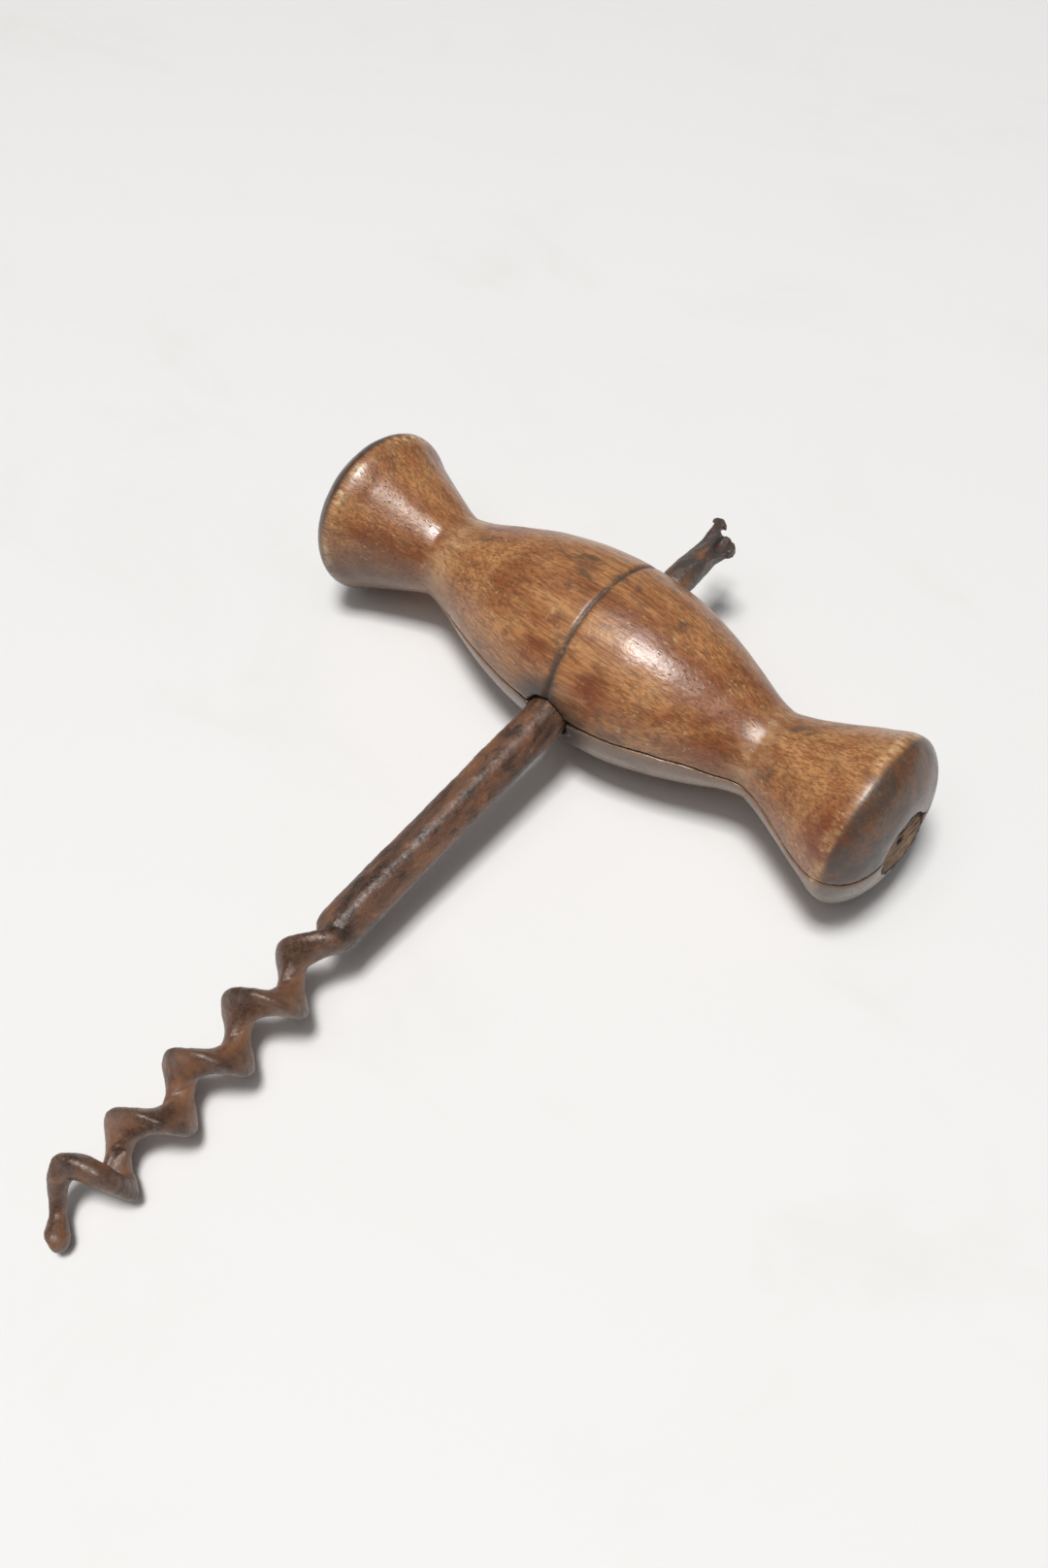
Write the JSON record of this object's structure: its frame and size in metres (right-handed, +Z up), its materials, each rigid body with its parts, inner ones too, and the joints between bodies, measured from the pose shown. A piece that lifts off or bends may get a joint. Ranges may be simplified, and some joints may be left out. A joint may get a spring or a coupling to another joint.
{
  "type": "t-handle corkscrew",
  "caption": "Direct-pull corkscrew: turned wooden T-handle with a split, forged iron shank with an open helical worm, and a forked tang behind the handle.",
  "frame": {"origin": "on the surface that the corkscrew lies on, under the middle of its outline", "axes": "+Z up, X along the handle with the brush socket at +X, the worm points to -Y and the forked tang to +Y"},
  "size_m": [0.1, 0.1378, 0.0278],
  "materials": {
    "handle_wood": "hand-worn wax",
    "socket_wood": "dry and rough",
    "rusted_iron": "brown rust"
  },
  "bodies": {
    "handle": {"handle_upper_half": "handle_wood", "handle_lower_half": "handle_wood", "brush_socket_plug": "socket_wood"},
    "iron": {"iron_worm_and_shank": "rusted_iron"}
  },
  "joints": [
    {"name": "tang_play", "type": "slide", "parent": "handle", "child": "iron", "axis": [0, -0.9955, -0.0949], "range_m": [0, 0.009]}
  ]
}
